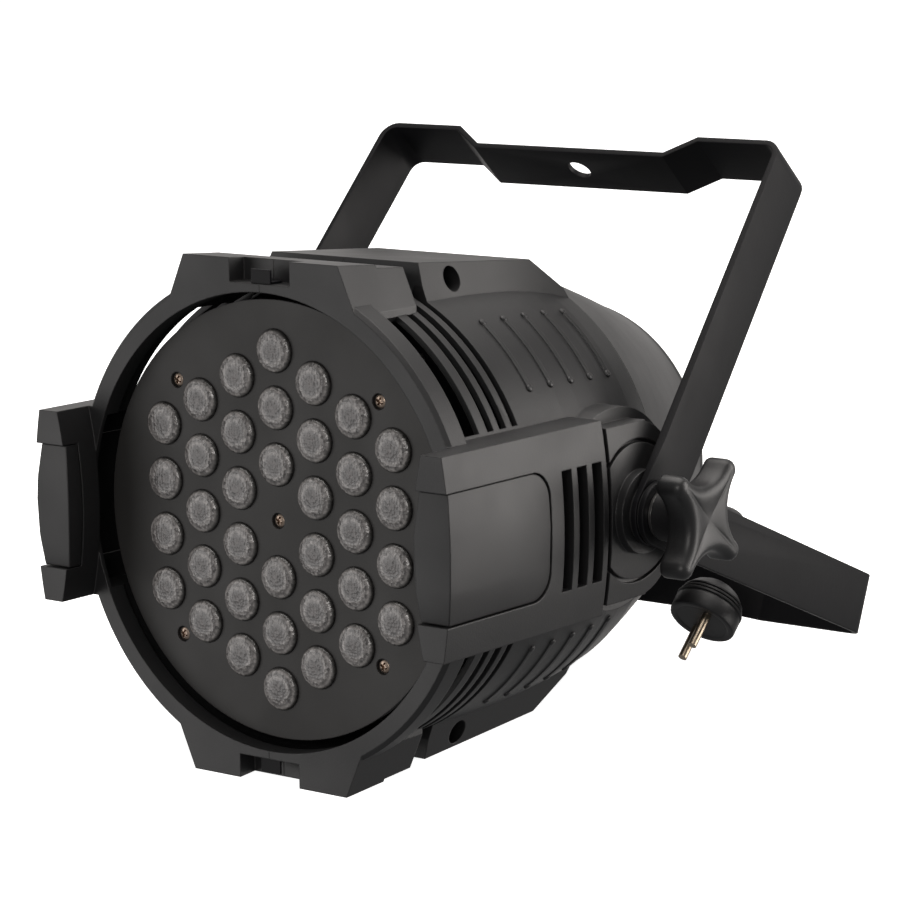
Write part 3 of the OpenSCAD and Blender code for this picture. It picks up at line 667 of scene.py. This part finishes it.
def makeKnob(side):
    # side 1 is the right-hand knob, -1 the left-hand one
    outline = knobOutline()
    back = knob["back"]
    rings = []

    def ring(across, points):
        rings.append([inLamp(side * (back + across), pivotBack + p.x, p.y) for p in points])

    hub = [(across, knob["hub"] + more) for across, more in knob["hubEdge"]]
    bore = [(knob["boreDepth"], 0.05), (knob["boreDepth"], knob["bore"]), (0, knob["bore"])]
    for across, radius in bore + hub:
        ring(across, [p.normalized() * radius for p, out in outline])
    # rounded edges at the back and front of the lobes
    for across, inset in knob["lobeEdges"]:
        ring(across, [p - out * inset for p, out in outline])
    # the face is slightly dished
    front, faceInset = knob["lobeEdges"][-1]
    for share, sink in knob["dish"]:
        ring(front - sink, [(p - out * faceInset) * share for p, out in outline])
    verts, faces = ringStack(rings)
    name, node = ("knobRight", "knob_right") if side > 0 else ("knobLeft", "knob_left")
    made = meshPiece(name, verts, faces, knobNylon, body=node, smooth=34)
    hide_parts(node)


makeKnob(1)
makeKnob(-1)
print("knobs made")

# ---- lenses ----

lens = {
    "pitch": 28,
    "rows": [4, 5, 6, 7, 6, 5, 4],
    "radius": 10.8,
    "steps": 48,
    "facet": 1.6,          # the moulded cells are about 0.8 mm; drawn at twice that so that they show
    "barrel": 6.0,         # into the lamp
    "dome": [(10.8, -0.3), (10.7, -0.9), (10.4, -1.5), (9.9, -2.0), (9.0, -2.45), (7.8, -2.8), (6.2, -3.08),
             (4.4, -3.25), (2.4, -3.36), (0.02, -3.4)],
}


def lensPlaces():
    # seven columns with the middle lens left out
    spots = []
    for column, count in enumerate(lens["rows"]):
        for row in range(count):
            x = (column - len(lens["rows"]) // 2) * lens["pitch"] * math.sqrt(3) / 2
            z = (row - (count - 1) / 2) * lens["pitch"]
            if math.hypot(x, z) > 1:
                spots.append((x, z))
    return spots


def lensAcrylic():
    # injection moulded acrylic: hard clear gloss over a darker middle; the pale facetted rings are painted
    # reflection from the collimator and the dark outer rim is painted shadow in the gap at the hole's edge
    made, tree, shader = newMaterial("moulded acrylic lens", {
        "Roughness": 0.2, "IOR": 1.49, "Coat Weight": 0.6, "Coat Roughness": 0.06})
    share = addNode(tree, "ShaderNodeAttribute", {"attribute_name": "fromMiddle"})
    place = addNode(tree, "ShaderNodeTexCoord")
    ramp = addNode(tree, "ShaderNodeValToRGB", links={"Fac": share.outputs["Fac"]})
    # painted light: the pale bands stand in for light reflected in the collimator, the dark last stops for
    # the shadow round the lens
    paintedLightStops = [(0.0, "#4d4746"), (0.28, "#443f3e"), (0.44, "#636060"), (0.60, "#908c8a"),
             (0.74, "#6f6c6b"), (0.86, "#989492"), (0.95, "#5b5957"), (1.0, "#2c2b2a")]
    band = ramp.color_ramp
    while len(band.elements) < len(paintedLightStops):
        band.elements.new(0.5)
    for element, (at, code) in zip(band.elements, paintedLightStops):
        element.position = at
        element.color = tone(code)
    facets = addNode(tree, "ShaderNodeTexVoronoi", {"Scale": perMetre(lens["facet"]), "Randomness": 0.7},
                     {"Vector": place.outputs["Object"]})
    spread = addNode(tree, "ShaderNodeMapRange", {"From Max": 1.0, "To Min": 0.3, "To Max": 1.25},
                     {"Value": facets.outputs["Color"]})
    shade = addNode(tree, "ShaderNodeMix", {"data_type": "RGBA", "blend_type": "MULTIPLY", "Factor": 1.0})
    tree.links.new(ramp.outputs["Color"], shade.inputs[6])
    tree.links.new(spread.outputs["Result"], shade.inputs[7])
    tree.links.new(shade.outputs[2], shader.inputs["Base Color"])
    skin = addNode(tree, "ShaderNodeBump", {"Strength": 0.9, "Distance": 0.35 * mm},
                   {"Height": facets.outputs["Distance"]})
    tree.links.new(skin.outputs["Normal"], shader.inputs["Normal"])
    return made


def makeLenses():
    # every lens: barrel, narrow shoulder and a low dome
    profile = [(lens["radius"], lens["barrel"])] + lens["dome"]
    verts, faces, fromMiddle = [], [], []
    for x, z in lensPlaces():
        rings = []
        for radius, ahead in profile:
            rings.append([inLamp(x + radius * math.cos(t), ahead, z + radius * math.sin(t))
                          for t in (2 * math.pi * k / lens["steps"] for k in range(lens["steps"]))])
            fromMiddle += [radius / lens["radius"]] * lens["steps"]
        ringVerts, ringFaces = ringStack(rings, closeStart=False)
        addPart(verts, faces, ringVerts, ringFaces)
    made = meshPiece("lensCaps", verts, faces, lensAcrylic(), smooth=60)
    share = made.data.attributes.new("fromMiddle", "FLOAT", "POINT")
    share.data.foreach_set("value", fromMiddle)
    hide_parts("lenses")


makeLenses()
print("lenses made")

# ---- plate screws ----

crossScrew = {
    "head": 3.3,
    "high": 1.5,
    "fall": 0.55,          # share of the height lost at the rim
    "curve": 2.5,
    "slot": 0.55,
    "slotReach": 0.56,     # of the head's radius
    "deep": 1.3,
    "steps": 48,
    "rows": 9,
    "seat": 1.9,           # its foot, behind the plate's face
    "corner": (64, 64.5),
    "lean": 0.3,           # how far the cross is turned
}


def crossHead(verts, faces, place, out, up):
    # a domed head with a cross recess, built as a grid of rings whose height drops inside the cross
    radius, steps, rows = crossScrew["head"], crossScrew["steps"], crossScrew["rows"]
    across = out.cross(up)
    rings = []
    for i in range(rows + 1):
        share = i / rows
        ring = []
        for k in range(steps):
            t = 2 * math.pi * k / steps
            r = radius * max(share, 0.01)
            u, v = r * math.cos(t), r * math.sin(t)
            height = crossScrew["high"] * (1 - crossScrew["fall"] * share ** crossScrew["curve"])
            short, far = sorted((abs(u), abs(v)))
            if short < crossScrew["slot"] and far < radius * crossScrew["slotReach"]:
                height -= crossScrew["deep"]
            ring.append(place + (up * u + across * v + out * height) * mm)
        rings.append(ring)
    rings.append([place + (up * math.cos(t) + across * math.sin(t)) * radius * mm
                  for t in (2 * math.pi * k / steps for k in range(steps))])
    ringVerts, ringFaces = ringStack(rings)
    addPart(verts, faces, ringVerts, ringFaces)


def makePlateScrews():
    verts, faces = [], []
    wide, high = crossScrew["corner"]
    spots = [(0, 0)] + [(sx * wide, sz * high) for sx in (-1, 1) for sz in (-1, 1)]
    up = lampUp.lerp(Vector((1, 0, 0)), crossScrew["lean"]).normalized()
    for x, z in spots:
        crossHead(verts, faces, inLamp(x, crossScrew["seat"], z), -lampAxis, up)
    made = meshPiece("plateScrews", verts, faces, yellowSteel, smooth=35)
    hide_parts("plate_screws")


makePlateScrews()

# ---- rib ends ----


caseSide = {"radius": 118.5, "drawIn": 7, "start": 55, "length": 110}

rib = {
    "count": 5,
    "first": 72.5,         # behind the lens plate
    "pitch": 17.5,
    "ends": (33, 53, -33, -53),        # degrees up and down from each side
    "boss": [(2.0, -1.2), (2.0, 0.5), (1.75, 0.95), (1.2, 1.2), (0.02, 1.3)],
    "steps": 20,
}


def caseRadius(y):
    # the case draws in towards the rear, slowly at first
    share = (y - caseSide["start"]) / caseSide["length"]
    return caseSide["radius"] - caseSide["drawIn"] * share ** 3


def makeRibEnds():
    # a small round boss closes each end of every rib
    verts, faces = [], []
    for i in range(rib["count"]):
        y = rib["first"] + rib["pitch"] * i
        for edge in rib["ends"]:
            for side in (0, 180):
                angle = math.radians(edge + side)
                out = (Vector((1, 0, 0)) * math.cos(angle) - lampUp * math.sin(angle)).normalized()
                base = inLamp(0, y, 0) + out * caseRadius(y) * mm
                profile = [(r * mm, a * mm) for r, a in rib["boss"]]
                rings = turned(profile, base, out, lampAxis, rib["steps"])
                ringVerts, ringFaces = ringStack(rings)
                addPart(verts, faces, ringVerts, ringFaces)
    meshPiece("ribEnds", verts, faces, caseAbs, smooth=50)


makeRibEnds()

# ---- gland ----


gland = {
    "place": (-48, 252, 2),
    "steps": 72,
    # along, half across the flats, radius of the cut corners
    "panelNut": [(0, 5.9, 5.9), (4.0, 5.9, 5.9), (4.0, 7.8, 8.2), (4.3, 7.8, 8.9), (8.4, 7.8, 8.9),
                 (8.9, 7.8, 8.1)],
    "neck": (9.0, 6.4),
    "grip": (9.2, 10.2, 14.2, 15.4),
    "gripRadius": 7.0,
    "gripRibs": 24,
    "gripDeep": 0.28,
    "dome": [(16.6, 6.7), (17.8, 6.1), (18.7, 5.2), (19.0, 4.6), (18.6, 4.1), (17.0, 3.9)],
}


def makeGland():
    # panel nut with cut corners, then a ribbed dome nut that grips the lead
    out = lampAxis
    place = inLamp(*gland["place"])
    steps = gland["steps"]
    rings = []

    def hexRadius(t, flat, blend):
        sector = (t + math.pi / 6) % (math.pi / 3) - math.pi / 6
        return min(flat / math.cos(sector), blend)

    for along, flat, blend in gland["panelNut"]:
        rings.append((along, lambda t, f=flat, b=blend: hexRadius(t, f, b)))
    along, neck = gland["neck"]
    rings.append((along, lambda t: neck))
    grip, deep, ribs = gland["gripRadius"], gland["gripDeep"], gland["gripRibs"]
    for along in gland["grip"]:
        rings.append((along, lambda t: grip + deep * math.cos(ribs * t)))
    for along, radius in gland["dome"]:
        rings.append((along, lambda t, r=radius: r))
    side, across = lampUp, lampAxis.cross(lampUp)
    turns = [2 * math.pi * k / steps for k in range(steps)]
    points = [[place + (out * along + side * radius(t) * math.cos(t) + across * radius(t) * math.sin(t)) * mm
               for t in turns] for along, radius in rings]
    verts, faces = ringStack(points)
    made = meshPiece("glandNut", verts, faces, smallAbs, smooth=30)
    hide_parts("cable_gland")


makeGland()
print("screws, rib ends and gland made")

# ---- floor, light and air ----

setting = {
    "air": 0.2,            # what the boxes leave for the shadows
    "table": 0.92,         # glow of the lit table
    "tableSize": 6,
    "aim": (0, 0, 0.13),   # the lamp's middle
}

warm, neutral = "#fffaf6", "#fffcfa"
# place and size in metres, power in watts
softBoxes = {
    "overheadBox": {"place": (0.0, 0.2, 1.6), "size": (1.8, 1.6), "power": 24, "colour": warm},
    "backdropBox": {"place": (-1.3, 2.0, 0.25), "size": (3.6, 4.2), "power": 29, "colour": warm},
    "rightBox": {"place": (1.8, 1.3, 0.42), "size": (1.5, 1.9), "power": 40, "colour": warm},
    "leftBox": {"place": (-1.5, -1.9, 0.2), "size": (1.6, 1.9), "power": 15, "colour": neutral},
    "frontBox": {"place": (0.9, -1.9, 0.75), "size": (0.7, 0.7), "power": 9, "colour": warm},
}


def makeFloor():
    # opal acrylic lit from below: white all over, with only a faint shadow
    made, tree, shader = newMaterial("opal acrylic table", {
        "Roughness": 0.8, "Emission Color": tone("#ffffff"), "Emission Strength": setting["table"]})
    place = addNode(tree, "ShaderNodeTexCoord")
    fibre = addNode(tree, "ShaderNodeTexNoise", {"Scale": perMetre(30), "Detail": 3},
                    {"Vector": place.outputs["Object"]})
    shade = addNode(tree, "ShaderNodeMix", {"data_type": "RGBA"}, {"Factor": fibre.outputs["Fac"]})
    shade.inputs[6].default_value = tone("#f4f4f4")
    shade.inputs[7].default_value = tone("#f9f9f9")
    tree.links.new(shade.outputs[2], shader.inputs["Base Color"])
    sheet = bmesh.new()
    bmesh.ops.create_grid(sheet, x_segments=1, y_segments=1, size=setting["tableSize"])
    mesh = bpy.data.meshes.new("floor")
    sheet.to_mesh(mesh)
    sheet.free()
    mesh.materials.append(made)
    floor = bpy.data.objects.new("floor", mesh)
    bpy.context.scene.collection.objects.link(floor)
    floor.visible_glossy = False           # keeps the lamp's underside dark
    floor.visible_diffuse = False
    floor.visible_shadow = False           # light also comes up through it


def softBox(name, box):
    data = bpy.data.lights.new(name, "AREA")
    data.shape = "RECTANGLE"
    data.size, data.size_y = box["size"]
    data.energy = box["power"]
    data.color = tone(box["colour"])[:3]
    light = bpy.data.objects.new(name, data)
    bpy.context.scene.collection.objects.link(light)
    light.visible_camera = False
    look = Vector(setting["aim"]) - Vector(box["place"])
    turn = look.to_track_quat("-Z", "Y").to_matrix().to_4x4()
    light.matrix_world = Matrix.Translation(box["place"]) @ turn


def makeLight():
    for name, box in softBoxes.items():
        softBox(name, box)
    world = bpy.data.worlds.new("studio")
    world.use_nodes = True
    tree = world.node_tree
    tree.nodes.clear()
    dim = addNode(tree, "ShaderNodeBackground", {"Color": tone("#ffffff"), "Strength": setting["air"]})
    white = addNode(tree, "ShaderNodeBackground", {"Color": tone("#ffffff"), "Strength": 1.0})
    path = addNode(tree, "ShaderNodeLightPath")
    seen = addNode(tree, "ShaderNodeMixShader", links={"Fac": path.outputs["Is Camera Ray"]})
    tree.links.new(dim.outputs["Background"], seen.inputs[1])
    tree.links.new(white.outputs["Background"], seen.inputs[2])
    addNode(tree, "ShaderNodeOutputWorld", links={"Surface": seen.outputs["Shader"]})
    bpy.context.scene.world = world
    bpy.context.scene.view_settings.view_transform = "Standard"


makeFloor()
makeLight()
print("floor and light made")
